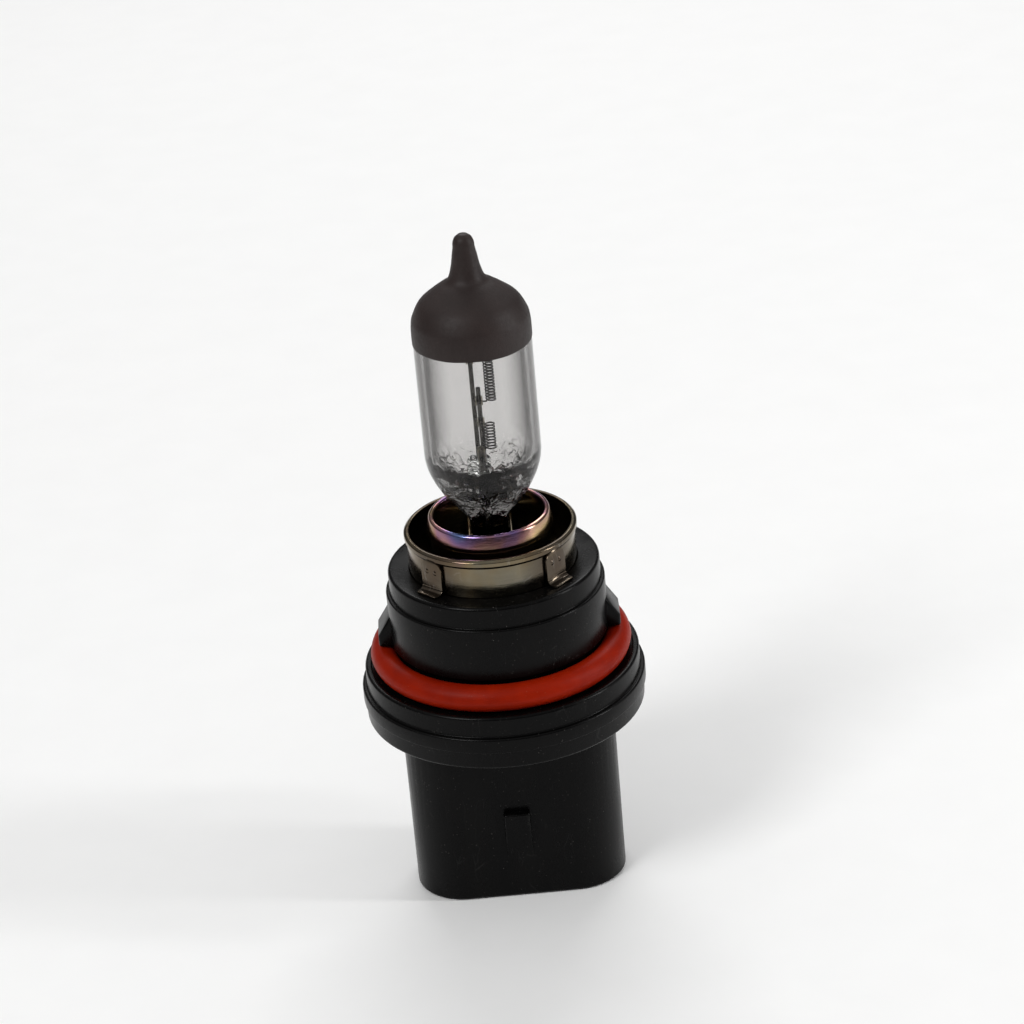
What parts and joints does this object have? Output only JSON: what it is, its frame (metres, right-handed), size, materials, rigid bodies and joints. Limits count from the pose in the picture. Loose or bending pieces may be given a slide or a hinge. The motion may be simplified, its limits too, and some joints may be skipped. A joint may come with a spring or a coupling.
{
  "type": "headlight bulb",
  "caption": "Headlight halogen bulb: clear glass capsule with a black-coated tip in a metal collar on a keyed, flanged black base with an O-ring and a plug socket.",
  "frame": {"origin": "centre of the plug shroud's end face, on the lamp's axis", "axes": "+Z along the lamp's axis to the glass tip; -Y is the side with the plug's latch wedge; the three keys point along +X, +Y and -X"},
  "size_m": [0.0366, 0.0366, 0.09],
  "materials": {
    "capsule_glass": "clear polished hard glass",
    "top_coating": "matte brown-black heat-proof coating",
    "tungsten": "drawn tungsten wire, dark grey",
    "lead_metal": "molybdenum wire, satin",
    "bead_glass": "fused glass beads",
    "crimp_strip": "folded strip, satin",
    "holder_steel": "bright stamped stainless sheet with faint heat tint",
    "base_plastic": "black moulded plastic, semi-gloss",
    "seal_rubber": "orange-red silicone, satin",
    "terminal_metal": "tin-plated brass",
    "potting": "poured dark epoxy, glossy"
  },
  "bodies": {
    "root": {"glass_envelope": "capsule_glass", "black_top_coating": "top_coating", "low_beam_filament": "tungsten", "high_beam_filament": "tungsten", "common_lead_wire": "lead_metal", "low_beam_lead_wire": "lead_metal", "high_beam_lead_wire": "lead_metal", "glass_bridge": "bead_glass", "low_front_crimp": "crimp_strip", "low_rear_crimp": "crimp_strip", "high_front_crimp": "crimp_strip", "high_rear_crimp": "crimp_strip", "press_seal_clip": "holder_steel", "focusing_sleeve": "holder_steel", "mounting_collar": "holder_steel", "base_housing": "base_plastic", "o_ring": "seal_rubber", "common_terminal": "terminal_metal", "low_beam_terminal": "terminal_metal", "high_beam_terminal": "terminal_metal", "terminal_seal": "potting"}
  },
  "joints": []
}
